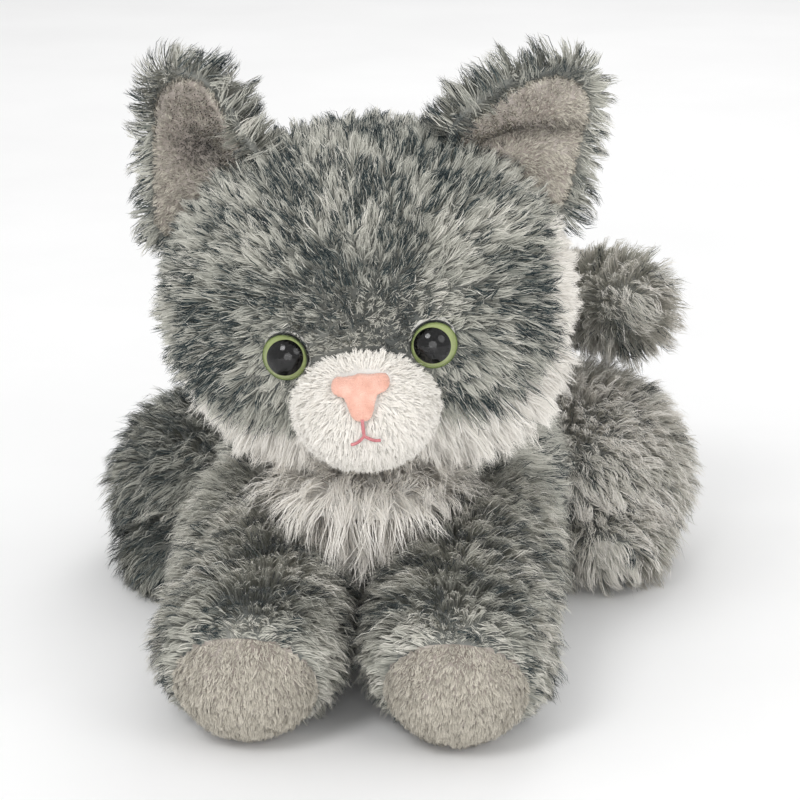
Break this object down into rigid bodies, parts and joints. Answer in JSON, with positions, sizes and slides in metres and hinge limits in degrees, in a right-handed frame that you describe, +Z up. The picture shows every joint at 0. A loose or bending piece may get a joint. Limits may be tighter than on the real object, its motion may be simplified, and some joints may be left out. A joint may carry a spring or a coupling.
{
  "type": "plush cat",
  "caption": "Soft lying tabby kitten with a turning head, swinging legs and tail, bendable ears, glossy eyes and a sewn pink nose.",
  "frame": {"origin": "on the floor under the belly, on the middle plane, where the belly rests", "axes": "+Z up, -Y the way the nose points, +X towards the side that the tail curls to"},
  "size_m": [0.1658, 0.2085, 0.163],
  "materials": {
    "tabby_plush": "long soft pile, mottled grey, slate and cream",
    "white_plush": "long soft pile, white",
    "short_white_pile": "short soft pile, white",
    "short_beige_pile": "short soft pile, warm grey",
    "pink_nose_cloth": "short velvety cloth",
    "pink_thread": "embroidery thread",
    "eye_clear": "polished clear plastic",
    "eye_green": "painted green, glossy",
    "eye_black": "glossy black",
    "washer_plastic": "matt",
    "fibre_filling": "loose white fibre",
    "pouch_cloth": "thin woven cloth",
    "pellet_plastic": "small round plastic pellets",
    "seam_thread": "twisted thread",
    "satin_label": "blank satin"
  },
  "bodies": {
    "torso": {"left_side_panel": "tabby_plush", "right_side_panel": "tabby_plush", "belly_panel": "tabby_plush", "chest_bib": "white_plush", "chest_stuffing": "fibre_filling", "torso_stuffing": "fibre_filling", "bean_pouch_top": "pouch_cloth", "bean_pouch_bottom": "pouch_cloth", "bean_pellets": "pellet_plastic", "closing_stitches": "seam_thread", "care_label": "satin_label"},
    "neck": {"neck_stuffing": "fibre_filling"},
    "head": {"crown_panel": "tabby_plush", "left_face_panel": "tabby_plush", "right_face_panel": "tabby_plush", "chin_panel": "white_plush", "head_stuffing": "fibre_filling", "muzzle_panel": "short_white_pile", "muzzle_stuffing": "fibre_filling", "nose_patch": "pink_nose_cloth", "mouth_stitches": "pink_thread", "left_eye_lens": "eye_clear", "left_eye_iris": "eye_green", "left_eye_pupil": "eye_black", "left_eye_shank": "eye_black", "left_eye_washer": "washer_plastic", "right_eye_lens": "eye_clear", "right_eye_iris": "eye_green", "right_eye_pupil": "eye_black", "right_eye_shank": "eye_black", "right_eye_washer": "washer_plastic"},
    "left_ear": {"left_ear_back": "tabby_plush", "left_ear_lining": "short_beige_pile"},
    "right_ear": {"right_ear_back": "tabby_plush", "right_ear_lining": "short_beige_pile"},
    "left_foreleg": {"left_foreleg_cover": "tabby_plush", "left_paw_pad": "short_beige_pile", "left_foreleg_stuffing": "fibre_filling", "left_paw_pellets": "pellet_plastic"},
    "left_hind_leg": {"left_hind_outer_panel": "tabby_plush", "left_hind_inner_panel": "tabby_plush", "left_hind_stuffing": "fibre_filling"},
    "right_foreleg": {"right_foreleg_cover": "tabby_plush", "right_paw_pad": "short_beige_pile", "right_foreleg_stuffing": "fibre_filling", "right_paw_pellets": "pellet_plastic"},
    "right_hind_leg": {"right_hind_outer_panel": "tabby_plush", "right_hind_inner_panel": "tabby_plush", "right_hind_stuffing": "fibre_filling"},
    "tail": {"tail_cover": "tabby_plush", "tail_stuffing": "fibre_filling"}
  },
  "joints": [
    {"name": "head_turn", "type": "hinge", "parent": "torso", "child": "neck", "pos_m": [-0.003, -0.02, 0.064], "axis": [0, 0, 1], "range_deg": [-18, 18], "stiffness_Nm_per_rad": 0.3},
    {"name": "head_nod", "type": "hinge", "parent": "neck", "child": "head", "pos_m": [-0.003, -0.02, 0.064], "axis": [1, 0, 0], "range_deg": [-6, 6], "stiffness_Nm_per_rad": 0.6},
    {"name": "left_ear_fold", "type": "hinge", "parent": "head", "child": "left_ear", "pos_m": [-0.04065, -0.026, 0.12539], "axis": [0.7064, -0.2588, 0.6588], "range_deg": [-25, 15], "stiffness_Nm_per_rad": 0.02},
    {"name": "right_ear_fold", "type": "hinge", "parent": "head", "child": "right_ear", "pos_m": [0.02917, -0.026, 0.13273], "axis": [0.7399, 0.2588, -0.6209], "range_deg": [-25, 15], "stiffness_Nm_per_rad": 0.02},
    {"name": "left_foreleg_swing", "type": "hinge", "parent": "torso", "child": "left_foreleg", "pos_m": [-0.0295, -0.024, 0.03], "axis": [0, 0, -1], "range_deg": [0, 30]},
    {"name": "right_foreleg_swing", "type": "hinge", "parent": "torso", "child": "right_foreleg", "pos_m": [0.0235, -0.024, 0.03], "axis": [0, 0, 1], "range_deg": [0, 30]},
    {"name": "left_hind_swing", "type": "hinge", "parent": "torso", "child": "left_hind_leg", "pos_m": [-0.054, 0.046, 0.024], "axis": [0, 0, -1], "range_deg": [0, 20]},
    {"name": "right_hind_swing", "type": "hinge", "parent": "torso", "child": "right_hind_leg", "pos_m": [0.054, 0.058, 0.0265], "axis": [0, 0, 1], "range_deg": [0, 20]},
    {"name": "tail_swing", "type": "hinge", "parent": "torso", "child": "tail", "pos_m": [0.008, 0.08, 0.045], "axis": [0, 0, 1], "range_deg": [-20, 20], "stiffness_Nm_per_rad": 0.05}
  ]
}
